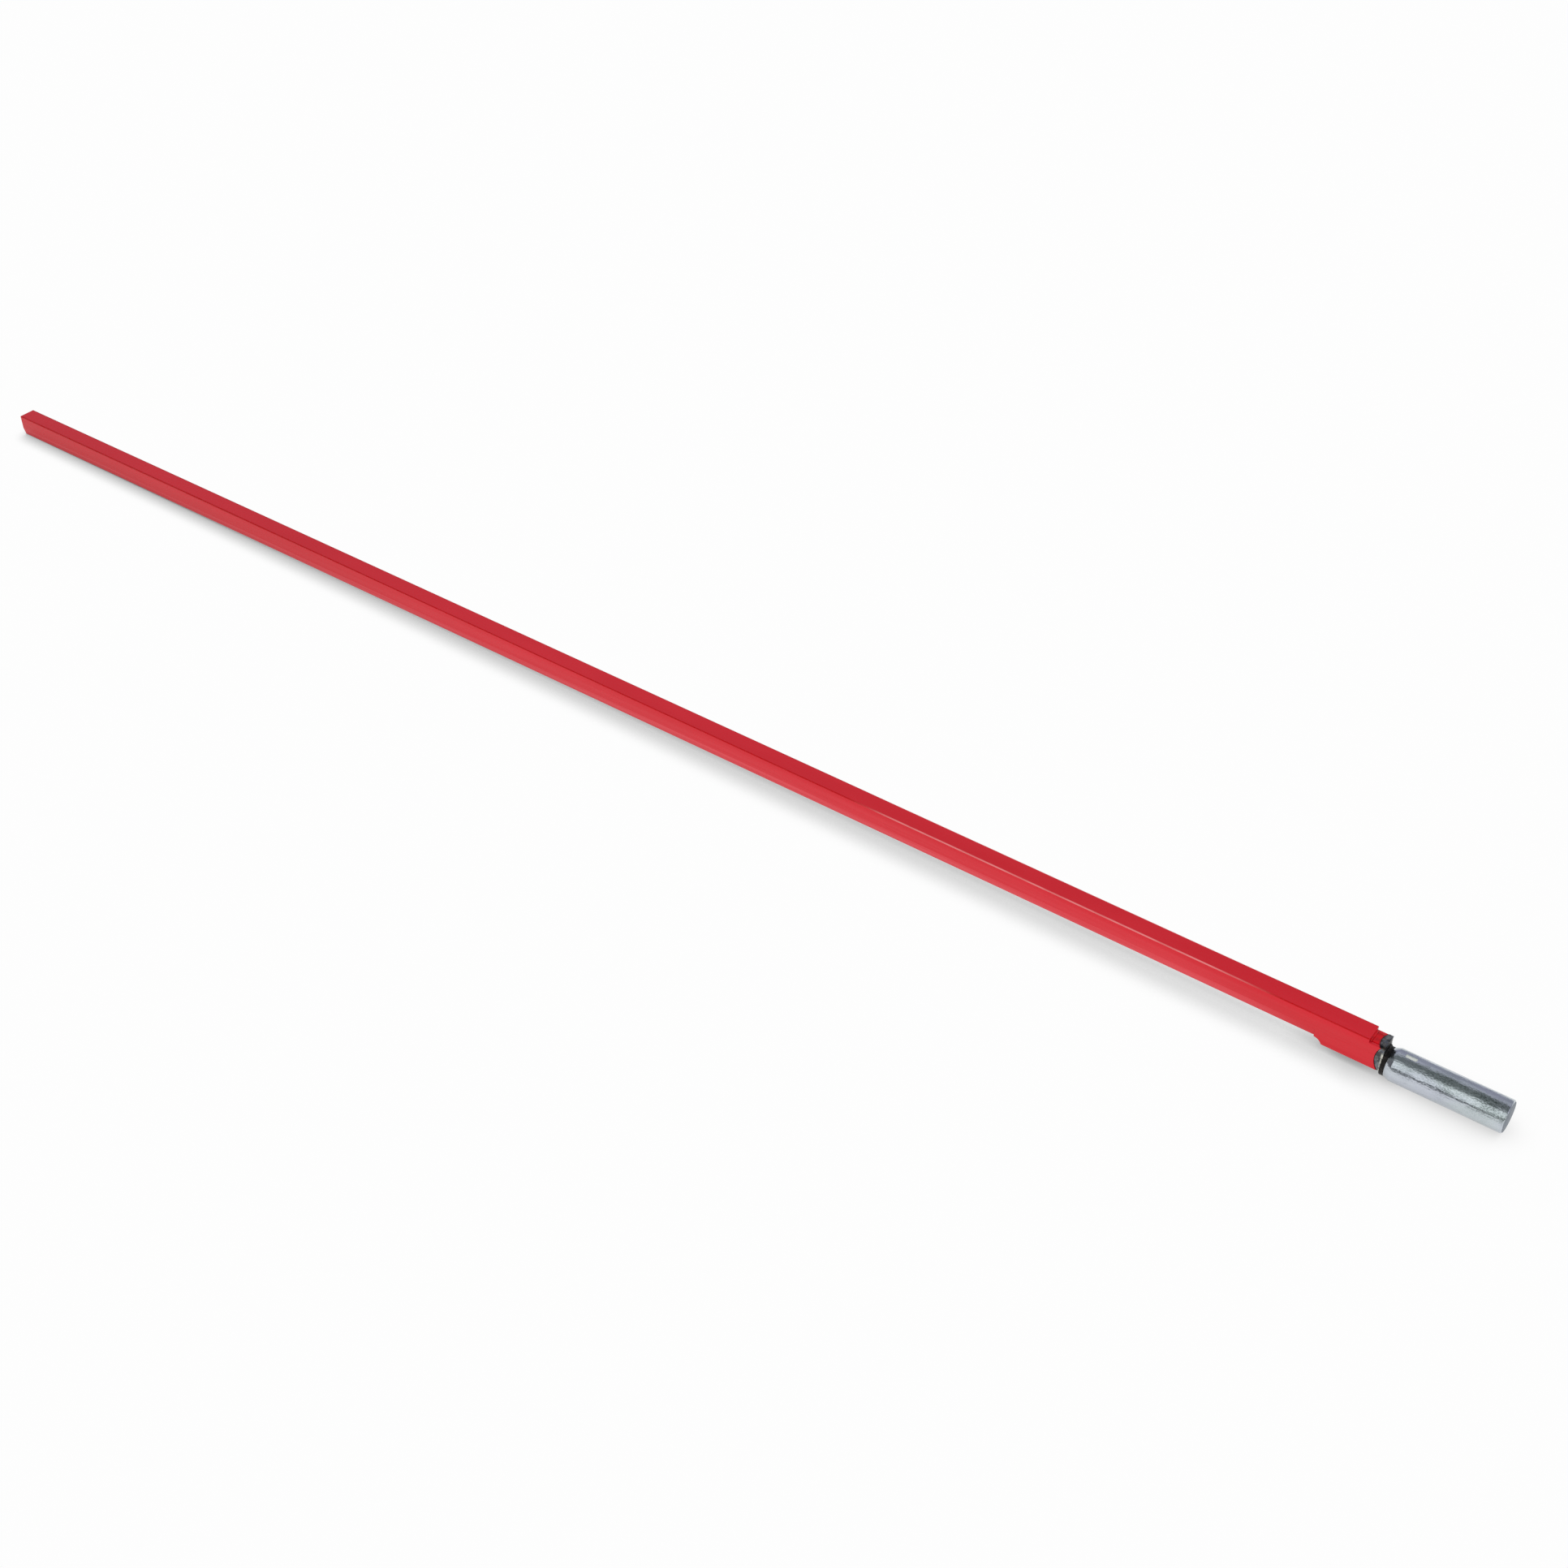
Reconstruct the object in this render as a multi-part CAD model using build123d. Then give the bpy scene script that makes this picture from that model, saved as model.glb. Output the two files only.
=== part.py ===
from build123d import *
import math
import os

# Post driver: a long steel guide channel that lies over a slim fence post, an anvil block
# welded into its head end, and a round striking head on a short neck in line with the post.
# Frame: millimetres, origin at the centre of the striking face, +X out of that face along the
# head's axis, +Z up through the channel's web. The channel opens downwards.

# Overall and head
total_length = 2000.0
head_diameter = 32.0
head_length = 111.0
head_rear_chamfer_length = 6.0
head_rear_chamfer_depth = 2.0
head_bevel = 1.2
slot_length = 11.0
slot_width = 4.5
slot_depth = 1.0
slot_from_rear = 12.5
neck_diameter = 28.0
neck_length = 4.0

# Guide channel
channel_width = 20.5
channel_depth = 26.5
wall = 3.5
web_above_axis = 25.2
lip_start_depth = 17.0
lip_angle = 12.0
corner_radius = 0.8
web_end_to_block_end = 15.0

# Cheeks: the deeper straight ends of the flanges that hold the block
cheek_depth = 32.2
cheek_length = 53.3
ramp_length = 8.0
cheek_notch_depth = 4.3
cheek_end_setback = 3.4
scallop_sagitta = 4.2

# Anvil block and welds
block_length = 55.0
weld_throat = 3.0
bead_height = 0.7

# Positions worked out from the sizes above
head_radius = head_diameter / 2
half_width = channel_width / 2
half_gap = half_width - wall
far_end = -total_length
head_rear = -head_length
block_end = head_rear - neck_length
web_end = block_end - web_end_to_block_end
cheek_end = block_end - cheek_end_setback
ramp_end = cheek_end - cheek_length
ramp_start = ramp_end - ramp_length
web_top = web_above_axis
web_under = web_top - wall
channel_bottom = web_top - channel_depth
cheek_bottom = web_top - cheek_depth
cheek_top = web_top - cheek_notch_depth
block_top = web_under
block_start = block_end - block_length


def slab(x_from, x_to, y_from, y_to, z_from, z_to):
    """Rectangular block between two corners."""
    box = Box(x_to - x_from, y_to - y_from, z_to - z_from)
    return Pos((x_from + x_to) / 2, (y_from + y_to) / 2, (z_from + z_to) / 2) * box


def cylinder_x(radius, x_from, x_to):
    """Round bar along X on the tool's axis."""
    middle = (x_from + x_to) / 2
    return Pos(middle, 0, 0) * Rot(0, 90, 0) * Cylinder(radius, x_to - x_from)


def channel_section():
    """Channel with its web on top and the lower third of each flange bent inwards."""
    lip_height = channel_depth - lip_start_depth
    shift = lip_height * math.tan(math.radians(lip_angle))
    bend_z = web_top - lip_start_depth
    right = [
        (0, web_top),
        (half_width, web_top),
        (half_width, bend_z),
        (half_width - shift, channel_bottom),
        (half_gap - shift, channel_bottom),
        (half_gap, bend_z),
        (half_gap, web_under),
        (0, web_under),
    ]
    left = [(-y, z) for y, z in reversed(right[1:-1])]
    outline = make_face(Plane.YZ * Polyline(*right, *left, close=True))
    return outline


def straight_section():
    """Channel with plain flanges, for the stretch that holds the block."""
    outer = Plane.YZ * Pos(0, web_top - channel_depth / 2) * Rectangle(channel_width, channel_depth)
    inner = Plane.YZ * Pos(0, web_under - channel_depth / 2) * Rectangle(2 * half_gap, channel_depth)
    return outer - inner


def cheek_outline():
    """Cheek seen from the side: ramp down from the flange, scalloped end."""
    drop = channel_bottom - cheek_bottom
    ramp_radius = (ramp_length**2 + drop**2) / (2 * drop)
    middle_x = ramp_start + ramp_length / 2
    middle_z = channel_bottom - (ramp_radius - math.sqrt(ramp_radius**2 - (ramp_length / 2) ** 2))
    scallop_z = (cheek_top + cheek_bottom) / 2
    points_top = Polyline(
        (cheek_end, cheek_top), (web_end, cheek_top), (ramp_start, cheek_top), (ramp_start, channel_bottom)
    )
    ramp = ThreePointArc((ramp_start, channel_bottom), (middle_x, middle_z), (ramp_end, cheek_bottom))
    bottom = Line((ramp_end, cheek_bottom), (cheek_end, cheek_bottom))
    scallop = ThreePointArc(
        (cheek_end, cheek_bottom), (cheek_end - scallop_sagitta, scallop_z), (cheek_end, cheek_top)
    )
    return make_face([points_top, ramp, bottom, scallop])


def cheek(side):
    """One cheek plate; side is -1 for the near flange and 1 for the far one."""
    outline = Pos(0, side * half_gap, 0) * (Plane.XZ * cheek_outline())
    return extrude(outline, amount=wall, dir=(0, side, 0))


def make_guide_channel():
    """Long channel, its plain stretch over the block, and the two cheeks, in one piece."""
    bent = Pos(far_end, 0, 0) * extrude(channel_section(), amount=ramp_start - far_end, dir=(1, 0, 0))
    plain = Pos(ramp_start, 0, 0) * extrude(straight_section(), amount=web_end - ramp_start, dir=(1, 0, 0))
    body = bent + plain + cheek(-1) + cheek(1)
    corners = body.edges().filter_by(Axis.X).group_by(Axis.Z)[-1]
    return fillet(corners, corner_radius)


def make_anvil_block():
    """Solid bar between the cheeks; its inner end is the face that pushes the post."""
    block = slab(block_start, block_end, -half_gap, half_gap, cheek_bottom, block_top)
    mouth_edges = block.faces().sort_by(Axis.X)[0].edges()
    return chamfer(mouth_edges, 0.8)


def make_neck():
    """Short round neck between the block and the striking head."""
    return cylinder_x(neck_diameter / 2, block_end, head_rear)


def make_drive_head():
    """Round striking head with a chamfered rear, a bevelled face and a shallow slot on top."""
    small = head_radius - head_rear_chamfer_depth
    profile = Polyline(
        (head_rear, 0),
        (head_rear, small),
        (head_rear + head_rear_chamfer_length, head_radius),
        (-head_bevel, head_radius),
        (0, head_radius - head_bevel),
        (0, 0),
        close=True,
    )
    head = revolve(make_face(Plane.XZ * profile), Axis.X, 360)
    slot_x = head_rear + slot_from_rear
    floor_z = head_radius - slot_depth
    slot = slab(slot_x, slot_x + slot_length, -slot_width / 2, slot_width / 2, floor_z, head_radius + 1)
    return head - slot


def make_web_weld():
    """Fillet bead across the end of the web, down on to the block's top."""
    leg = weld_throat
    corner = (web_end, block_top)
    profile = make_face(
        Plane.XZ
        * Polyline(corner, (web_end + leg, block_top), (web_end, block_top + leg), close=True)
    )
    bead = extrude(profile, amount=half_gap, both=True)
    return bead


def make_top_weld():
    """Low bead over the head end of the block and the cheeks, with a rounded toe."""
    toe = 2.6
    edge = block_end - 4.6
    outline = make_face(
        [
            Polyline(
                (edge, half_width), (block_end, half_width), (block_end, -half_width), (edge, -half_width)
            ),
            ThreePointArc((edge, -half_width), (edge - toe, 0), (edge, half_width)),
        ]
    )
    height = block_top + bead_height - cheek_top
    bead = extrude(Pos(0, 0, cheek_top) * outline, amount=height, dir=(0, 0, 1))
    return bead - slab(block_start, block_end, -half_gap, half_gap, cheek_bottom, block_top)


def make_cheek_weld(side):
    """Bead that fills the scallop between a cheek's end and the end of the block."""
    gap = 0.05
    fill_thickness = wall - 0.8
    scallop_z = (cheek_top + cheek_bottom) / 2
    outline = make_face(
        [
            Polyline(
                (cheek_end + gap, cheek_bottom),
                (block_end, cheek_bottom),
                (block_end, cheek_top),
                (cheek_end + gap, cheek_top),
            ),
            ThreePointArc(
                (cheek_end + gap, cheek_top),
                (cheek_end - scallop_sagitta + gap, scallop_z),
                (cheek_end + gap, cheek_bottom),
            ),
        ]
    )
    start = Pos(0, side * half_gap, 0) * (Plane.XZ * outline)
    return extrude(start, amount=fill_thickness, dir=(0, side, 0))


def make_neck_weld():
    """Fillet bead over the top of the neck, against the end of the block."""
    leg = weld_throat
    radius = neck_diameter / 2
    profile = make_face(
        Plane.XZ
        * Polyline((block_end, radius), (block_end + leg, radius), (block_end, radius + leg), close=True)
    )
    ring = revolve(profile, Axis.X, 360)
    above = slab(block_end - 1, head_rear + 1, -half_gap, half_gap, 0, web_top)
    return ring & above


def main():
    os.makedirs("parts", exist_ok=True)
    pieces = {
        "guide_channel": make_guide_channel(),
        "anvil_block": make_anvil_block(),
        "neck": make_neck(),
        "drive_head": make_drive_head(),
        "web_weld": make_web_weld(),
        "top_weld": make_top_weld(),
        "near_cheek_weld": make_cheek_weld(-1),
        "far_cheek_weld": make_cheek_weld(1),
        "neck_weld": make_neck_weld(),
    }
    for name, piece in pieces.items():
        export_step(piece, f"parts/{name}.step")
        print(name, len(piece.solids()), round(piece.volume), piece.is_valid)


main()
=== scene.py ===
import math
import random

import bmesh
import bpy
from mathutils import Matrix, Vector


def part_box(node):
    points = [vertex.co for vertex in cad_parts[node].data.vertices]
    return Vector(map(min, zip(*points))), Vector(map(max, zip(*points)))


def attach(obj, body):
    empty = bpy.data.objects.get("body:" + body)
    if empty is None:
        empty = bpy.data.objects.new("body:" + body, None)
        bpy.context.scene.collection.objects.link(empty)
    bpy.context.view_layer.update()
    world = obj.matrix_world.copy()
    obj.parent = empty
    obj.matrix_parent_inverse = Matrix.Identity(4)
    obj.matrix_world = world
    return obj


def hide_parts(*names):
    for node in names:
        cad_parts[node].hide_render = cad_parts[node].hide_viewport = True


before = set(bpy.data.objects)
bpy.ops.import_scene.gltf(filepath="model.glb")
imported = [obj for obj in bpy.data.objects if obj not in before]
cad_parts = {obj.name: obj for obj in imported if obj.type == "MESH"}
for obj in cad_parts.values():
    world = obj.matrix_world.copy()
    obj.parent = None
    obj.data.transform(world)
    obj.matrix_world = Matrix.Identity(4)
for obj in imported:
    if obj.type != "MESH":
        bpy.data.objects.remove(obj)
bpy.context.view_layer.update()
mm = 0.001

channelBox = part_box("guide_channel")
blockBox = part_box("anvil_block")
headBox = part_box("drive_head")
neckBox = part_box("neck")
webTop = channelBox[1][2]
halfWidth = channelBox[1][1]
blockStart = blockBox[0][0]
blockEnd = blockBox[1][0]
blockTop = blockBox[1][2]
headRadius = headBox[1][1]
channelDepth = 26.5 * mm


class Value:  # a socket that can be added, multiplied and compared like a number
    def __init__(self, tree, socket):
        self.tree = tree
        self.socket = socket

    def math(self, operation, *values):
        return self.tree.value("ShaderNodeMath", {"operation": operation}, dict(enumerate(values)))

    def __add__(self, other):
        return self.math("ADD", self, other)

    def __sub__(self, other):
        return self.math("SUBTRACT", self, other)

    def __rsub__(self, other):
        return self.math("SUBTRACT", other, self)

    def __mul__(self, other):
        return self.math("MULTIPLY", self, other)

    def __truediv__(self, other):
        return self.math("DIVIDE", self, other)

    def __rtruediv__(self, other):
        return self.math("DIVIDE", other, self)

    def __pow__(self, other):
        return self.math("POWER", self, other)

    def __abs__(self):
        return self.math("ABSOLUTE", self)

    __radd__ = __add__
    __rmul__ = __mul__

    def ramp(self, low, high):  # 0 below low, 1 above high, smooth between
        return self.tree.value("ShaderNodeMapRange", {"interpolation_type": "SMOOTHSTEP"},
                               {"Value": self, "From Min": low, "From Max": high})

    def band(self, low, high, edge):  # 1 between low and high
        return self.ramp(low - edge, low + edge) * (1 - self.ramp(high - edge, high + edge))


class Tree:  # nodes of a finish, of the studio's light or of a rule for geometry
    def __init__(self, tree):
        self.tree = tree

    def node(self, kind, settings=None, values=None):
        made = self.tree.nodes.new(kind)
        for key, value in (settings or {}).items():
            if key == "stops":
                while len(made.color_ramp.elements) < len(value):
                    made.color_ramp.elements.new(1.0)
                for element, (at, colour) in zip(made.color_ramp.elements, value):
                    element.position = at
                    element.color = colour
            else:
                setattr(made, key, value)
        for key, value in (values or {}).items():
            if isinstance(value, Value):
                value = value.socket
            if isinstance(value, bpy.types.NodeSocket):
                self.tree.links.new(value, made.inputs[key])
            else:
                made.inputs[key].default_value = value
        return made

    def value(self, kind, settings=None, values=None, out=0):
        return Value(self, self.node(kind, settings, values).outputs[out])

    def split(self, vector):
        apart = self.node("ShaderNodeSeparateXYZ", None, {"Vector": vector})
        return [Value(self, apart.outputs[k]) for k in "XYZ"]

    def mix(self, amount, low, high):
        return self.value("ShaderNodeMix", {"data_type": "RGBA"}, {0: amount, 6: low, 7: high}, out=2)


class Shade(Tree):  # a finish under construction
    def __init__(self, name, **sockets):
        self.material = bpy.data.materials.new(name)
        self.material.use_nodes = True
        super().__init__(self.material.node_tree)
        self.surface = self.tree.nodes["Principled BSDF"]
        self.place = self.value("ShaderNodeTexCoord", out="Object")
        self.x, self.y, self.z = self.split(self.place)
        self.set(**sockets)

    def set(self, **sockets):
        for key, value in sockets.items():
            socket = self.surface.inputs[key.replace("_", " ")]
            if isinstance(value, Value):
                self.tree.links.new(value.socket, socket)
            else:
                socket.default_value = value

    def noise(self, scale, detail=3.0, stretch=(1, 1, 1), rough=0.5, shift=0.0):
        moved = self.value("ShaderNodeMapping", None,
                           {"Vector": self.place, "Scale": stretch, "Location": (shift, shift, shift)})
        return self.value("ShaderNodeTexNoise", None,
                          {"Vector": moved, "Scale": scale, "Detail": detail, "Roughness": rough})

    def bump(self, height, depth, under=None):
        values = {"Height": height, "Distance": depth}
        if under is not None:
            values["Normal"] = under
        return self.value("ShaderNodeBump", None, values)


def srgb(red, green, blue):  # a colour as a picker shows it, made linear
    parts = [c / 255 for c in (red, green, blue)]
    return tuple(p / 12.92 if p <= 0.04045 else ((p + 0.055) / 1.055) ** 2.4 for p in parts) + (1.0,)


redPaint = {
    "light": srgb(204, 20, 38), "deep": srgb(192, 8, 28), "paintedShadeRed": srgb(176, 0, 10),
    "paleRed": srgb(214, 70, 78), "paintedGlint": srgb(252, 172, 172), "roughness": 0.24,
    # places along the bar: where a painted highlight lies on the corner, where painted light makes the flanks
    # paler, where painted shade deepens the red
    "glintFrom": -0.66, "glintTo": -0.25, "flankLightFrom": -1.80, "flankLightTo": -0.20,
    "farFrom": -1.75, "farTo": -1.20, "headEndShadeFrom": -0.34, "headEndShadeTo": -0.19,
    "lipDepth": 17.2 * mm, "lipFade": 60 * mm, "rampLength": 9.7 * mm,
    "cornerWidth": 1.0 * mm, "cornerFade": 0.2 * mm, "farCornerIn": 0.5 * mm, "farCornerDown": 0.7 * mm,
    "lineDepth": 0.008 * mm, "peelDepth": 0.002 * mm, "waveDepth": 0.05 * mm,
}


def makeRedPaint(at):
    s = Shade("redPaint", IOR=1.5, Specular_IOR_Level=0.2)
    drift = s.noise(2.2, 2.0, (1, 8, 8)).ramp(0.3, 0.7)         # slow change of tone along the bar
    cloud = s.noise(60, 3.0, (0.25, 1, 1)).ramp(0.35, 0.75)
    base = s.mix(drift * 0.5 + cloud * 0.35, at["deep"], at["light"])
    depth = webTop - s.z
    streaks = s.noise(1.0, 3.0, (5, 60, 300), shift=4.0).ramp(0.36, 0.62)       # dust in the drawn lines
    rampStart = blockStart - at["rampLength"]
    lip = depth.ramp(at["lipDepth"] - 0.3 * mm, at["lipDepth"] + 0.5 * mm)
    lip = lip * (1 - s.x.ramp(rampStart - at["lipFade"], rampStart - 2 * mm))
    flank = depth.ramp(1 * mm, 10 * mm)
    nearHead = s.x.ramp(at["flankLightFrom"], at["flankLightTo"])
    # paler red: a little all over, dust in the drawn lines, paler on the lower lip, and painted light making
    # the flanks lighter towards the head
    dustAndPaintedLight = 0.12 + flank * nearHead * 0.15 + flank * streaks * 0.12 + lip * (0.34 + streaks * 0.22)
    base = s.mix(dustAndPaintedLight, base, at["paleRed"])
    farPart = 1 - s.x.ramp(at["farFrom"], at["farTo"])
    endShade = farPart * 0.28 + s.x.ramp(at["headEndShadeFrom"], at["headEndShadeTo"]) * 0.32
    base = s.mix(flank * endShade, base, at["paintedShadeRed"])               # painted shade: deeper red towards both ends, following how the light falls along the bar
    fade = at["cornerFade"]
    inner = farPart * -at["farCornerIn"] + (halfWidth - at["cornerWidth"])
    below = depth - farPart * at["farCornerDown"] - at["cornerWidth"]
    corner = (abs(s.y) - inner).ramp(-fade, fade) * (1 - below.ramp(-fade, fade))
    cornerPatchiness = s.noise(30, 2.0, (1, 4, 4), shift=3.0).ramp(0.3, 0.6)
    base = s.mix(corner * (0.8 + cornerPatchiness * 0.2), base, at["paintedShadeRed"])  # painted shade: a darker red line on the corner, where it mirrors little light
    paintedGlint = s.x.band(at["glintFrom"], at["glintTo"], 40 * mm) * (0.25 + cornerPatchiness * 0.2)
    base = s.mix(corner * paintedGlint, base, at["paintedGlint"])            # painted highlight along the corner, standing in for a glint
    specks = s.noise(900, 2.0, (0.5, 1, 1), shift=7.0).ramp(0.68, 0.8)
    base = s.mix(specks * 0.15, base, at["paleRed"])
    scuffs = s.noise(24, 5.0, (0.5, 5, 5), 0.7, 5.0).ramp(0.6, 0.8)
    rough = at["roughness"] + scuffs * 0.14 + cloud * 0.06 + lip * 0.12
    normal = s.bump(s.noise(1.0, 1.0, (14, 90, 90), shift=2.0), at["waveDepth"])
    normal = s.bump(s.noise(1.0, 2.0, (9, 420, 420), shift=1.0), at["lineDepth"], normal)  # drawn lines
    normal = s.bump(s.noise(700, 2.0), at["peelDepth"], normal)
    s.set(Base_Color=base, Roughness=rough, Normal=normal)
    return s.material


blockPaint = {
    "light": srgb(196, 0, 16), "deep": srgb(166, 0, 8), "scorchAndShade": srgb(40, 22, 20),
    "steel": srgb(84, 84, 82), "darkSteel": srgb(44, 44, 44), "roughness": 0.12, "coat": 0.35,
    # the paint ends in a curve: this far from the block's end in the middle, and this much less at the sides
    "toe": 7.3 * mm, "toeRise": 3.0 * mm, "ragged": 0.9 * mm, "scorchAndShadeWidth": 1.0 * mm, "sag": 0.12 * mm,
}


def makeBlockPaint(at):
    s = Shade("blockPaint", IOR=1.4, Coat_Roughness=0.05, Specular_IOR_Level=0.15)
    tone = s.noise(160, 2.0).ramp(0.35, 0.65)
    paint = s.mix(tone, at["deep"], at["light"])
    edge = (abs(s.y) / halfWidth) ** 2.0 * at["toeRise"] + (blockEnd - at["toe"])
    ragged = s.noise(500, 3.0) * at["ragged"] - at["ragged"] / 2
    past = s.x + ragged - edge                                   # distance past the paint's rounded edge
    scorchAndShade = past.ramp(-at["scorchAndShadeWidth"], 0)
    bare = past.ramp(-0.1 * mm, 0.1 * mm)
    steel = s.mix(s.noise(900, 4.0).ramp(0.3, 0.7), at["darkSteel"], at["steel"])
    colour = s.mix(bare, s.mix(scorchAndShade * 0.7, paint, at["scorchAndShade"]), steel)
    s.set(Base_Color=colour, Metallic=bare, Roughness=at["roughness"] + bare * 0.3 + scorchAndShade * 0.1,
          Coat_Weight=at["coat"] * (1 - bare), Normal=s.bump(s.noise(260, 2.0), at["sag"]))
    return s.material


bareWeld = {
    "light": srgb(150, 152, 150), "dark": srgb(70, 70, 70), "blue": srgb(84, 92, 108),
    "brown": srgb(100, 84, 68), "scorchAndShade": srgb(26, 28, 38), "rimHighlight": srgb(216, 214, 202), "roughness": 0.26,
    "scorchAndShadeWidth": 1.1 * mm, "rimWidth": 2.4 * mm, "rimFade": 1.1 * mm, "grainDepth": 0.015 * mm,
}


def makeBareWeld(at):
    s = Shade("bareWeld", Metallic=0.9)
    scale = s.noise(190, 3.0, shift=1.0).ramp(0.40, 0.72)
    heat = s.noise(180, 2.0, shift=4.0).ramp(0.4, 0.65)
    metal = s.mix(scale, at["dark"], at["light"])
    metal = s.mix(heat * 0.5, metal, at["blue"])
    metal = s.mix(s.noise(260, 2.0, shift=9.0).ramp(0.55, 0.7) * 0.5, metal, at["brown"])

    # darkened where it meets the paint: painted shade in the step along the cheek's scallop, and darker along
    # the curve on the block's top
    low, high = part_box("near_cheek_weld")
    half, sagitta = (high[2] - low[2]) / 2, weldPatch["sagitta"]
    radius = (half * half + sagitta ** 2) / (2 * sagitta)
    alongX, alongZ = s.x - (low[0] + radius), s.z - (low[2] + half)
    fromArcMiddle = (alongX * alongX + alongZ * alongZ) ** 0.5
    scallop = fromArcMiddle.ramp(radius - at["scorchAndShadeWidth"], radius)
    scallop = scallop * abs(s.y).ramp(0.7 * halfWidth, 0.8 * halfWidth)
    toeCurve = blockPaint["toeRise"] / halfWidth ** 2
    pastToe = s.x - (blockEnd - blockPaint["toe"]) - s.y * s.y * toeCurve
    toe = (1 - pastToe.ramp(0, at["scorchAndShadeWidth"])) * s.z.ramp(blockTop - 0.4 * mm, blockTop)
    metal = s.mix((scallop * (1 - toe) + toe) * 0.8, metal, at["scorchAndShade"])

    rimStart = blockEnd - at["rimWidth"]                         # painted highlight on the ripples along the outer edge
    rim = s.x.ramp(rimStart, rimStart + at["rimFade"]) * abs(s.y).ramp(0.8 * halfWidth, 0.88 * halfWidth)
    rim = rim * s.noise(420, 2.0, shift=14.0).ramp(0.34, 0.52) * (1 - s.z.ramp(13 * mm, 17 * mm))
    metal = s.mix(rim * 0.85, metal, at["rimHighlight"])
    s.set(Base_Color=metal, Roughness=at["roughness"] + scale * 0.2,
          Normal=s.bump(s.noise(1100, 3.0), at["grainDepth"]))
    return s.material


darkSteel = {"black": srgb(15, 12, 11), "grey": srgb(40, 35, 32), "roughness": 0.55, "turnDepth": 0.05 * mm}


def makeDarkSteel(at):
    s = Shade("darkSteel", IOR=1.4, Metallic=0.3)
    patches = s.noise(300, 4.0).ramp(0.45, 0.7)
    turned = s.noise(1.0, 1.0, (2600, 30, 30))
    s.set(Base_Color=s.mix(patches, at["black"], at["grey"]), Roughness=at["roughness"] - patches * 0.15,
          Normal=s.bump(turned, at["turnDepth"]))
    return s.material


zincPlate = {
    "bright": srgb(198, 206, 210), "grey": srgb(150, 160, 162), "lilac": srgb(184, 182, 204),
    "green": srgb(122, 140, 134), "mottleAndReflection": srgb(84, 96, 92), "slot": srgb(226, 230, 222),
    "face": srgb(112, 120, 130), "roughness": 0.12, "darkBandFrom": -100 * mm, "darkBandTo": -20 * mm,
    "pitDepth": 0.20 * mm, "wobble": 0.45 * mm, "turnDepth": 0.006 * mm,
}


def makeZincPlate(at):
    s = Shade("zincPlate")
    grain = s.noise(950, 3.0, rough=0.6).ramp(0.38, 0.66)
    patch = s.noise(90, 3.0, (0.45, 1, 1), shift=2.0).ramp(0.35, 0.68)
    tint = s.noise(45, 2.0, (0.5, 1, 1), shift=6.0).ramp(0.35, 0.65)
    metal = s.mix(grain * 0.10 + patch * 0.16, at["bright"], at["grey"])
    metal = s.mix(tint * 0.35, metal, at["lilac"])
    metal = s.mix(patch * grain * 0.3, metal, at["green"])
    mottleAndReflectionMask = s.y.band(-0.85 * headRadius, -0.15 * headRadius, 1.5 * mm) * s.z.ramp(0, 5 * mm)
    pepper = s.noise(850, 3.0, (0.7, 1, 1), 0.65, 8.0).ramp(0.42, 0.62)
    mottleAndReflectionMask = mottleAndReflectionMask * (0.2 + patch * 0.5) * (0.35 + s.x.ramp(at["darkBandFrom"], at["darkBandTo"]) * 0.85)
    metal = s.mix(mottleAndReflectionMask * pepper, metal, at["mottleAndReflection"])          # peppery dark patches along the upper front: the zinc's own grain, with a painted reflection of the dark band
    slotStart = headBox[0][0] + driveHead["slotFromRear"]        # the pressed slot is dull and paler
    slotSide = driveHead["slotWidth"] / 2
    inSlot = s.x.band(slotStart, slotStart + driveHead["slotLength"], 0.1 * mm)
    inSlot = inSlot * (1 - abs(s.y).ramp(slotSide - 0.2 * mm, slotSide))
    inSlot = inSlot * s.z.ramp(0, 1 * mm) * (1 - s.z.ramp(headRadius - 0.7 * mm, headRadius - 0.5 * mm))
    metal = s.mix(inSlot * (0.7 + grain * 0.3), metal, at["slot"])
    face = s.x.ramp(-0.3 * mm, -0.1 * mm)                        # the struck face is dull
    metal = s.mix(face * 0.9, metal, at["face"])
    normal = s.bump(s.noise(1.0, 1.0, (1500, 20, 20)), at["turnDepth"])
    normal = s.bump(s.noise(1.0, 2.0, (70, 240, 240), shift=12.0), at["wobble"], normal)
    normal = s.bump(s.noise(700, 3.5, (0.7, 1, 1), 0.55), at["pitDepth"], normal)
    rough = at["roughness"] + grain * 0.10 + patch * 0.06 + inSlot * 0.4 + face * 0.4
    s.set(Base_Color=metal, Roughness=rough, Metallic=1 - inSlot * 0.75 - face * 0.7, Normal=normal)
    return s.material


def linked(name, mesh, material):
    piece = bpy.data.objects.new(name, mesh)
    bpy.context.scene.collection.objects.link(piece)
    mesh.materials.clear()
    mesh.materials.append(material)
    return piece


def applied(piece):  # the piece with its modifiers made part of its mesh
    graph = bpy.context.evaluated_depsgraph_get()
    mesh = bpy.data.meshes.new_from_object(piece.evaluated_get(graph))
    piece.modifiers.clear()
    piece.data = mesh
    return piece


def shadeByAngle(mesh, degrees):
    work = bmesh.new()
    work.from_mesh(mesh)
    for face in work.faces:
        face.smooth = True
    for edge in work.edges:
        edge.smooth = len(edge.link_faces) == 2 and edge.calc_face_angle(0) < math.radians(degrees)
    work.to_mesh(mesh)
    work.free()


guideChannel = {"edge": 0.35 * mm}
anvilBlock = {"edge": 0.5 * mm}
neckRound = {"edge": 0.3 * mm}


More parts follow.
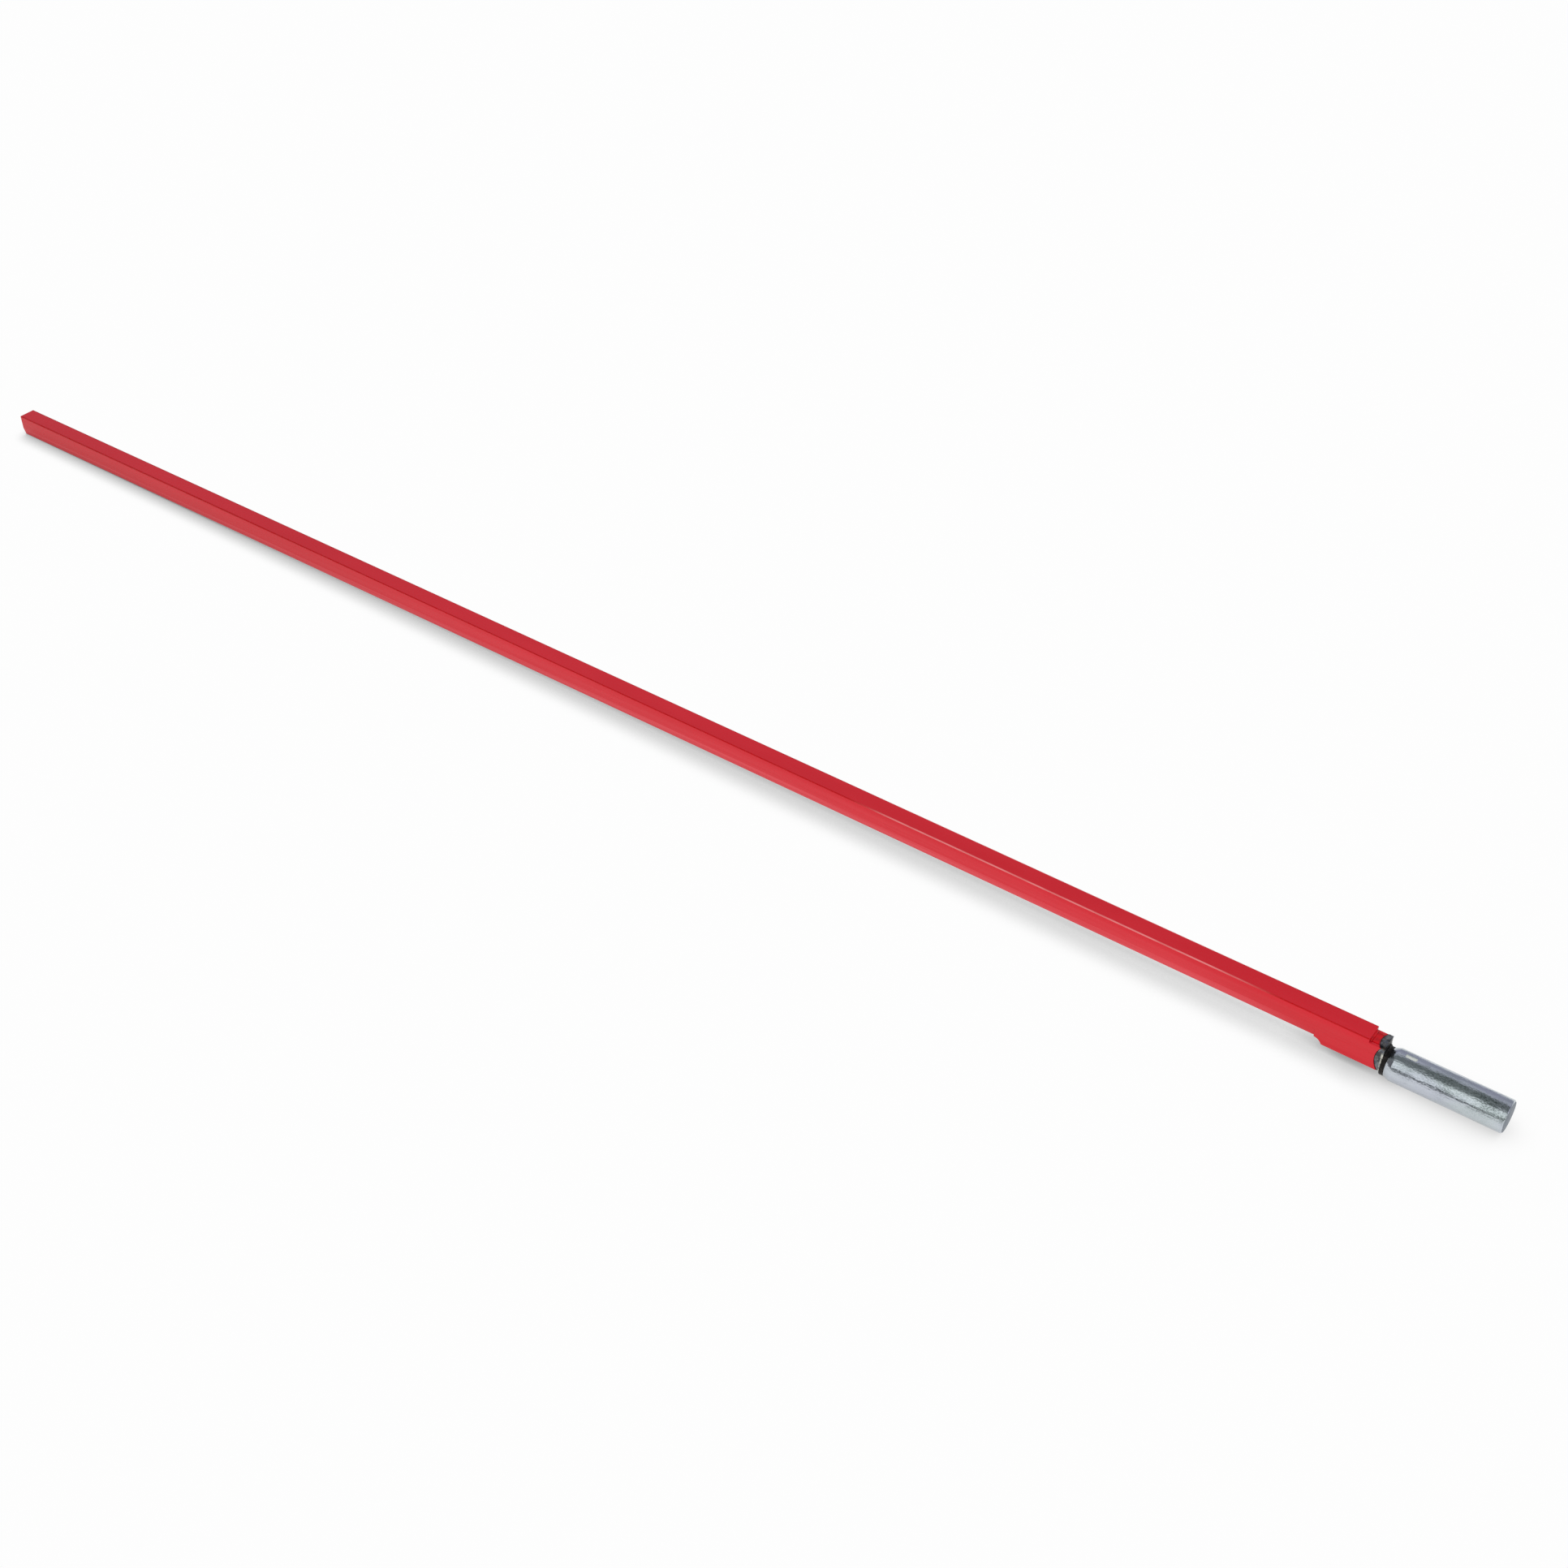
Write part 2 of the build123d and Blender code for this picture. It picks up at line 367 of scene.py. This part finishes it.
def makeSoftened(name, node, at, material):  # a CAD node's shape with its sharp edges rounded
    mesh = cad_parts[node].data.copy()
    work = bmesh.new()
    work.from_mesh(mesh)
    bmesh.ops.remove_doubles(work, verts=work.verts, dist=0.002 * mm)
    bmesh.ops.dissolve_limit(work, angle_limit=math.radians(0.4), verts=work.verts, edges=work.edges)
    work.to_mesh(mesh)
    work.free()
    piece = linked(name, mesh, material)
    bevel = piece.modifiers.new("roundedEdges", "BEVEL")
    bevel.width = at["edge"]
    bevel.segments = 3
    bevel.limit_method = "ANGLE"
    bevel.angle_limit = math.radians(28)
    shadeByAngle(piece.data, 30)
    even = piece.modifiers.new("evenNormals", "WEIGHTED_NORMAL")
    even.keep_sharp = True
    applied(piece)
    finish(piece, [node])


def finish(piece, nodes):
    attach(piece, "root")
    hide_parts(*nodes)
    print("made", piece.name, len(piece.data.polygons), "faces")


driveHead = {
    "sides": 128, "rearRadius": 14.0 * mm, "rearLength": 6.0 * mm, "rearRound": 3.5 * mm, "bevel": 1.2 * mm,
    "slotFromRear": 12.5 * mm, "slotLength": 11.0 * mm, "slotWidth": 4.5 * mm, "slotDepth": 1.0 * mm,
    "slotRound": 1.6 * mm,
}


def makeDriveHead(at, material):
    rear, radius, bevel = headBox[0][0], headRadius, at["bevel"]
    profile = [(rear, 0.0), (rear, at["rearRadius"] - 0.5 * mm), (rear + 0.4 * mm, at["rearRadius"])]
    bendAt = rear + at["rearLength"]
    for step in range(6):  # the chamfer runs into the barrel in a soft curve
        along = step / 5
        x = bendAt - at["rearRound"] * 0.5 + along * at["rearRound"]
        slope = (radius - at["rearRadius"]) / at["rearLength"]
        before = at["rearRadius"] + slope * (x - rear)
        blend = along * along * (3 - 2 * along)
        profile.append((x, min(before * (1 - blend) + radius * blend, radius)))
    for share in (0.1, 0.3, 0.5, 0.7, 0.9):
        profile.append((bendAt + 4 * mm + (-bevel - bendAt - 4 * mm) * share, radius))
    profile += [(-bevel - 0.2 * mm, radius), (-bevel + 0.1 * mm, radius - 0.12 * mm),
                (-0.12 * mm, radius - bevel - 0.05 * mm), (0.0, radius - bevel - 0.4 * mm), (0.0, 0.0)]
    work = bmesh.new()
    rings = []
    for x, r in profile:
        if r == 0:
            rings.append([work.verts.new((x, 0, 0))])
            continue
        turn = [2 * math.pi * k / at["sides"] for k in range(at["sides"])]
        rings.append([work.verts.new((x, r * math.cos(a), r * math.sin(a))) for a in turn])
    for low, high in zip(rings, rings[1:]):
        for k in range(at["sides"]):
            n = (k + 1) % at["sides"]
            corners = [low[k % len(low)], high[k % len(high)], high[n % len(high)], low[n % len(low)]]
            work.faces.new(list(dict.fromkeys(corners)))
    bmesh.ops.recalc_face_normals(work, faces=work.faces)
    mesh = bpy.data.meshes.new("driveHead")
    work.to_mesh(mesh)
    work.free()
    piece = linked("driveHead", mesh, material)
    cutter = slotCutter(at)
    cut = piece.modifiers.new("slot", "BOOLEAN")
    cut.operation, cut.object, cut.solver = "DIFFERENCE", cutter, "EXACT"
    bpy.context.view_layer.update()
    applied(piece)
    bpy.data.objects.remove(cutter)
    shadeByAngle(piece.data, 32)
    finish(piece, ["drive_head"])


def slotCutter(at):  # long shallow cutter with round corners and a flat floor
    startX = headBox[0][0] + at["slotFromRear"]
    work = bmesh.new()
    outline = []
    corner, length, width = at["slotRound"], at["slotLength"], at["slotWidth"]
    for cx, cy, first in ((length - corner, width - corner, 0), (corner, width - corner, 90),
                          (corner, corner, 180), (length - corner, corner, 270)):
        for step in range(7):
            a = math.radians(first + 15 * step)
            outline.append((startX + cx + corner * math.cos(a), -width / 2 + cy + corner * math.sin(a)))
    floorZ, topZ = headRadius - at["slotDepth"], headRadius + 2 * mm
    low = [work.verts.new((x, y, floorZ)) for x, y in outline]
    high = [work.verts.new((x, y, topZ)) for x, y in outline]
    work.faces.new(list(reversed(low)))
    work.faces.new(high)
    for k in range(len(low)):
        n = (k + 1) % len(low)
        work.faces.new((low[k], low[n], high[n], high[k]))
    bmesh.ops.recalc_face_normals(work, faces=work.faces)
    mesh = bpy.data.meshes.new("slotCutter")
    work.to_mesh(mesh)
    work.free()
    cutter = bpy.data.objects.new("slotCutter", mesh)
    bpy.context.scene.collection.objects.link(cutter)
    return cutter


beadTree = {"sides": 16, "rings": 10, "spacing": 1.2 * mm, "along": 2.0 * mm, "jitter": 0.86}


def makeBeadTree(at):  # ripples of weld metal, one squashed drop after another along a curve
    tree = bpy.data.node_groups.new("weldRipples", "GeometryNodeTree")
    face = tree.interface
    face.new_socket("Geometry", in_out="INPUT", socket_type="NodeSocketGeometry")
    for name in ("Spacing", "Along", "Across", "High", "Jitter"):
        face.new_socket(name, in_out="INPUT", socket_type="NodeSocketFloat")
    face.new_socket("Up", in_out="INPUT", socket_type="NodeSocketVector")
    face.new_socket("Seed", in_out="INPUT", socket_type="NodeSocketInt")
    face.new_socket("Metal", in_out="INPUT", socket_type="NodeSocketMaterial")
    face.new_socket("Geometry", in_out="OUTPUT", socket_type="NodeSocketGeometry")

    add = Tree(tree).node
    given = add("NodeGroupInput").outputs
    drops = add("GeometryNodeResampleCurve", {"mode": "LENGTH"},
                {"Curve": given[0], "Length": given["Spacing"]})
    ball = add("GeometryNodeMeshUVSphere", None,
               {"Segments": at["sides"], "Rings": at["rings"], "Radius": 1.0})
    smooth = add("GeometryNodeSetShadeSmooth", None, {"Geometry": ball.outputs["Mesh"]})
    size = add("ShaderNodeCombineXYZ", None,
               {"X": given["Along"], "Y": given["Across"], "Z": given["High"]})
    chance = add("FunctionNodeRandomValue", {"data_type": "FLOAT"}, {"Seed": given["Seed"]})
    spread = add("ShaderNodeMapRange", None,
                 {"Value": chance.outputs[1], "To Min": given["Jitter"], "To Max": 1.0})
    sized = add("ShaderNodeVectorMath", {"operation": "SCALE"},
                {0: size.outputs[0], "Scale": spread.outputs[0]})
    along = add("GeometryNodeInputTangent")
    turn = add("FunctionNodeAxesToRotation", {"primary_axis": "X", "secondary_axis": "Z"},
               {"Primary Axis": along.outputs[0], "Secondary Axis": given["Up"]})
    placed = add("GeometryNodeInstanceOnPoints", None,
                 {"Points": drops.outputs[0], "Instance": smooth.outputs[0], "Rotation": turn.outputs[0],
                  "Scale": sized.outputs[0]})
    real = add("GeometryNodeRealizeInstances", None, {0: placed.outputs[0]})
    coated = add("GeometryNodeSetMaterial", None,
                 {"Geometry": real.outputs[0], "Material": given["Metal"]})
    add("NodeGroupOutput", None, {0: coated.outputs[0]})
    return tree


def makeBead(name, tree, points, up, at, material, seed):
    size = dict(beadTree, **at)
    line = bpy.data.curves.new(name + "Line", "CURVE")
    line.dimensions = "3D"
    spline = line.splines.new("POLY")
    spline.points.add(len(points) - 1)
    for spot, place in zip(spline.points, points):
        spot.co = (*place, 1)
    carrier = bpy.data.objects.new(name, line)
    bpy.context.scene.collection.objects.link(carrier)
    ripples = carrier.modifiers.new("ripples", "NODES")
    ripples.node_group = tree
    wanted = {"Spacing": size["spacing"], "Along": size["along"], "Across": size["across"],
              "High": size["high"], "Jitter": size["jitter"], "Up": up, "Seed": seed, "Metal": material}
    for item in tree.interface.items_tree:
        if item.in_out == "INPUT" and item.name in wanted:
            ripples[item.identifier] = wanted[item.name]
    graph = bpy.context.evaluated_depsgraph_get()
    mesh = bpy.data.meshes.new_from_object(carrier.evaluated_get(graph))
    bpy.data.objects.remove(carrier)
    return mesh


weldPatch = {
    "columns": 6, "rows": 13, "bulge": 0.45 * mm, "facet": 0.30 * mm, "drift": 0.30, "sunk": 0.8 * mm,
    "sagitta": 4.2 * mm,
}


def makeWeldPatch(name, at, place, leftEdge, rightEdge, low, high, seed):
    # place(x, v, h) gives a point; v runs along the bead, h is the height above the metal it sits on
    chance = random.Random(seed)
    columns = at["columns"]
    rows = at["rows"]
    work = bmesh.new()
    top = []
    base = []
    for r in range(rows + 1):
        v = r / rows
        left, right = leftEdge(v), rightEdge(v)
        ends = min(1.0, 6 * min(v, 1 - v) + 0.15)
        topRow = []
        baseRow = []
        for c in range(columns + 1):
            inside = 0 < c < columns and 0 < r < rows
            u = (c + chance.uniform(-at["drift"], at["drift"]) * inside) / columns
            crown = max(0.0, 1 - (2 * u - 1) ** 2) ** 0.6
            facet = at["facet"] * chance.uniform(-1, 1) * inside
            x = left + (right - left) * u
            topRow.append(work.verts.new(place(x, v, high + at["bulge"] * crown * ends + facet)))
            baseRow.append(work.verts.new(place(x, v, low)))
        top.append(topRow)
        base.append(baseRow)
    for r in range(rows):
        for c in range(columns):
            work.faces.new((top[r][c], top[r][c + 1], top[r + 1][c + 1], top[r + 1][c]))
            work.faces.new((base[r][c], base[r + 1][c], base[r + 1][c + 1], base[r][c + 1]))
    for r in range(rows):
        work.faces.new((top[r][0], top[r + 1][0], base[r + 1][0], base[r][0]))
        work.faces.new((top[r + 1][-1], top[r][-1], base[r][-1], base[r + 1][-1]))
    for c in range(columns):
        work.faces.new((top[0][c + 1], top[0][c], base[0][c], base[0][c + 1]))
        work.faces.new((top[-1][c], top[-1][c + 1], base[-1][c + 1], base[-1][c]))
    bmesh.ops.recalc_face_normals(work, faces=work.faces)
    mesh = bpy.data.meshes.new(name)
    work.to_mesh(mesh)
    work.free()
    shadeByAngle(mesh, 14)
    return mesh


def joinMeshes(name, meshes, material):
    work = bmesh.new()
    for mesh in meshes:
        work.from_mesh(mesh)
    joined = bpy.data.meshes.new(name)
    work.to_mesh(joined)
    work.free()
    return linked(name, joined, material)


cheekWeld = {
    "bead": {"across": 0.75 * mm, "high": 0.5 * mm}, "beadFromEnd": 0.9 * mm, "beadWave": 0.25 * mm,
    "beadDip": 0.1 * mm, "beadEnds": 1.2 * mm, "beadPoints": 13,
}


def makeCheekWeld(name, node, side, at, tree, material, seed):
    low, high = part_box(node)
    bottom, top = low[2], high[2]
    middle, half = (bottom + top) / 2, (top - bottom) / 2
    endX = high[0]
    sagitta = weldPatch["sagitta"]
    cheekEnd = low[0] + sagitta
    radius = (half * half + sagitta ** 2) / (2 * sagitta)
    inner = min(abs(low[1]), abs(high[1]))

    def scallop(v):
        z = bottom + (top - bottom) * v
        return cheekEnd - sagitta + radius - math.sqrt(radius ** 2 - (z - middle) ** 2) - 0.15 * mm

    def place(x, v, h):
        return (x, side * (inner + h), bottom + (top - bottom) * v)

    sunk = weldPatch["sunk"]
    fill = makeWeldPatch(name + "Fill", weldPatch, place, scallop, lambda v: endX - 0.2 * mm,
                         0.0, halfWidth - inner - sunk, seed)
    line = []
    for k in range(at["beadPoints"]):
        x = endX - at["beadFromEnd"] + at["beadWave"] * math.sin(5 * k)
        climb = (top - bottom - 2 * at["beadEnds"]) * k / (at["beadPoints"] - 1)
        line.append((x, side * (halfWidth - sunk - at["beadDip"]), bottom + at["beadEnds"] + climb))
    edge = makeBead(name + "Edge", tree, line, (0, side, 0), at["bead"], material, seed)
    piece = joinMeshes(name, [fill, edge], material)
    finish(piece, [node])


topWeld = {
    "edge": 4.6 * mm, "lift": 0.2 * mm, "shoulder": 0.8, "seed": 3,
    "patch": {"bulge": 0.35 * mm, "facet": 0.22 * mm, "rows": 10},
}


def makeTopWeld(at, material):
    low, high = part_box("top_weld")
    endX, width = high[0], high[1] - low[1]
    toeMiddle, toeSide = low[0], endX - at["edge"]
    sheetDrop = blockTop - low[2]

    def toe(v):
        return toeMiddle + (toeSide - toeMiddle) * (2 * v - 1) ** 2

    def place(x, v, h):
        shoulder = max(0.0, abs(2 * v - 1) - at["shoulder"]) / (1 - at["shoulder"])  # falls on to the cheeks
        return (x, low[1] + width * v, blockTop + h - sheetDrop * shoulder ** 2 if h > 0 else low[2])

    settings = dict(weldPatch, **at["patch"])
    fill = makeWeldPatch("topFill", settings, place, toe, lambda v: endX - 0.1 * mm, 0.0, at["lift"],
                         at["seed"])
    piece = joinMeshes("topWeld", [fill], material)
    finish(piece, ["top_weld"])


webWeld = {
    "bead": {"across": 1.75 * mm, "high": 1.25 * mm, "spacing": 1.5 * mm, "along": 2.6 * mm},
    "fromWeb": 0.55 * mm, "aboveBlock": 0.5 * mm, "ends": 1.0 * mm, "seed": 11,
}


def makeWebWeld(at, tree, material):
    low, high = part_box("web_weld")
    x, z = low[0] + at["fromWeb"], low[2] + at["aboveBlock"]
    start, length = low[1] + at["ends"], high[1] - low[1] - 2 * at["ends"]
    points = [(x, start + length * k / 10, z) for k in range(11)]
    mesh = makeBead("webWeldLine", tree, points, (1, 0, 1), at["bead"], material, at["seed"])
    finish(joinMeshes("webWeld", [mesh], material), ["web_weld"])


neckWeld = {
    "bead": {"across": 1.7 * mm, "high": 1.2 * mm}, "fromBlock": 0.7 * mm, "lift": 0.6 * mm,
    "ends": 0.8 * mm, "seed": 21,
}


def makeNeckWeld(at, tree, material):
    low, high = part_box("neck_weld")
    neckRadius = neckBox[1][2]
    reach = math.asin((high[1] - at["ends"]) / neckRadius)
    radius = neckRadius + at["lift"]
    points = []
    for k in range(17):
        a = -reach + 2 * reach * k / 16
        points.append((low[0] + at["fromBlock"], radius * math.sin(a), radius * math.cos(a)))
    mesh = makeBead("neckWeldLine", tree, points, (1, 0, 1), at["bead"], material, at["seed"])
    finish(joinMeshes("neckWeld", [mesh], material), ["neck_weld"])


studio = {
    "cameraAt": (0.2256, -1.3678, 1.3829), "turn": 36.369, "tilt": 39.254, "lens": 48.447,
    "keyAt": (0.0, -1.70, 0.95), "keyAim": (-0.1, 0, 0), "keySize": (0.84, 0.50), "keyPower": 11.2,
    "fill": 0.85, "floor": (0.985, 0.985, 0.985, 1), "floorHalf": 14.0,
    # contact shade: its darkest tone at the far end, under the bar and under the head, and how far it spreads
    "farShade": (0.05, 0.05, 0.05, 1), "barShade": (0.18, 0.18, 0.18, 1), "headShade": (0.64, 0.64, 0.64, 1),
    "farShadeEnds": -1.3, "headShadeFade": 30 * mm, "farReach": 0.027, "nearReach": 0.041,
    "openLow": 0.1, "openSpan": 0.8,
    # what mirror-like finishes see round the tool's long axis: 0.25 is behind it, 0.5 above, 0.75 in front
    "mirror": [
        (0.00, (0.80, 0.82, 0.85, 1)), (0.24, (0.60, 0.60, 0.70, 1)), (0.27, (0.36, 0.36, 0.44, 1)),
        (0.36, (0.41, 0.41, 0.49, 1)), (0.415, (0.68, 0.68, 0.76, 1)), (0.435, (0.18, 0.20, 0.20, 1)),
        (0.56, (0.24, 0.26, 0.26, 1)), (0.585, (1.10, 1.13, 1.12, 1)), (0.69, (1.10, 1.13, 1.12, 1)),
        (0.705, (0.08, 0.09, 0.09, 1)), (0.742, (0.08, 0.09, 0.09, 1)), (0.754, (0.58, 0.62, 0.66, 1)),
    ],
    "farDim": (0.16, 0.16, 0.17, 1), "farBand": (0.57, 0.74), "farTurn": (-0.48, -0.40),
}


def makeCamera(at):
    data = bpy.data.cameras.new("camera")
    data.lens = at["lens"]
    data.sensor_width = 36.0
    data.clip_end = 50
    camera = bpy.data.objects.new("camera", data)
    bpy.context.scene.collection.objects.link(camera)
    camera.location = at["cameraAt"]
    camera.rotation_euler = (math.radians(90 - at["tilt"]), 0, math.radians(at["turn"]))
    bpy.context.scene.camera = camera


def makeFloor(at):
    # the head's rear rim and the channel's far end both touch it, so it falls slightly towards the head
    touchX = headBox[0][0] + driveHead["rearLength"]
    touchZ = headBox[0][2]
    farX = channelBox[0][0]
    farZ = webTop - channelDepth
    slope = (touchZ - farZ) / (touchX - farX)
    half = at["floorHalf"]
    corners = [(x, y, touchZ + slope * (x - touchX)) for x, y in
               ((-half, -half), (half, -half), (half, half), (-half, half))]
    mesh = bpy.data.meshes.new("floor")
    mesh.from_pydata(corners, [], [(0, 1, 2, 3)])
    shade = Shade("floorGlowAndShade", Base_Color=(0, 0, 0, 1), Roughness=1.0, Specular_IOR_Level=0.0,
                  Emission_Strength=1.0)
    # a glowing white floor rather than a lit one, with contact shade painted in close by; the channel lies
    # higher above it towards the head
    reach = shade.x.ramp(farX, blockStart) * (at["nearReach"] - at["farReach"]) + at["farReach"]
    clear = shade.value("ShaderNodeAmbientOcclusion", {"samples": 12}, {"Distance": reach}, out="AO")
    fade = at["headShadeFade"]
    dark = shade.mix(shade.x.ramp(farX, at["farShadeEnds"]), at["farShade"], at["barShade"])
    dark = shade.mix(shade.x.ramp(blockEnd - fade, blockEnd + fade), dark, at["headShade"])
    shade.set(Emission_Color=shade.mix((clear - at["openLow"]) / at["openSpan"], dark, at["floor"]))
    linked("floor", mesh, shade.material)


def makeKey(at):
    data = bpy.data.lights.new("key", "AREA")
    data.shape = "RECTANGLE"
    data.size, data.size_y = at["keySize"]
    data.energy = at["keyPower"]
    lamp = bpy.data.objects.new("key", data)
    bpy.context.scene.collection.objects.link(lamp)
    lamp.location = at["keyAt"]
    aim = Vector(at["keyAim"]) - Vector(at["keyAt"])
    lamp.rotation_euler = aim.to_track_quat("-Z", "Y").to_euler()
    lamp.visible_camera = False
    lamp.visible_glossy = False


def makeRoom(at):  # even white fill, and rows of light panels along the tool for mirror-like finishes
    world = bpy.data.worlds.new("studio")
    bpy.context.scene.world = world
    world.use_nodes = True
    room = Tree(world.node_tree)
    x, y, z = room.split(room.value("ShaderNodeTexCoord", out="Generated"))
    angle = z.math("ARCTAN2", y * -1.0, z)
    share = angle / (2 * math.pi) + 0.5
    panels = room.value("ShaderNodeValToRGB", {"stops": at["mirror"]}, {0: share})
    far = share.band(*at["farBand"], 0.02) * (1 - x.ramp(*at["farTurn"]))
    panels = room.mix(far, panels, at["farDim"])
    rays = room.node("ShaderNodeLightPath")
    fill = (at["fill"], at["fill"], at["fill"], 1)
    light = room.mix(rays.outputs["Is Glossy Ray"], fill, panels)
    light = room.mix(rays.outputs["Is Camera Ray"], light, at["floor"])
    world.node_tree.links.new(light.socket, world.node_tree.nodes["Background"].inputs["Color"])


makeCamera(studio)
makeFloor(studio)
makeKey(studio)
makeRoom(studio)
bpy.context.scene.view_settings.view_transform = "Standard"
print("studio ready")

redFinish = makeRedPaint(redPaint)
blockFinish = makeBlockPaint(blockPaint)
weldFinish = makeBareWeld(bareWeld)
darkFinish = makeDarkSteel(darkSteel)
zincFinish = makeZincPlate(zincPlate)
print("finishes ready")

makeSoftened("guideChannel", "guide_channel", guideChannel, redFinish)
makeSoftened("anvilBlock", "anvil_block", anvilBlock, blockFinish)
makeSoftened("neckRound", "neck", neckRound, darkFinish)
makeDriveHead(driveHead, zincFinish)
ripples = makeBeadTree(beadTree)
makeCheekWeld("nearCheekWeld", "near_cheek_weld", -1, cheekWeld, ripples, weldFinish, 5)
makeCheekWeld("farCheekWeld", "far_cheek_weld", 1, cheekWeld, ripples, weldFinish, 8)
makeTopWeld(topWeld, weldFinish)
makeWebWeld(webWeld, ripples, blockFinish)
makeNeckWeld(neckWeld, ripples, darkFinish)
print("pieces ready")
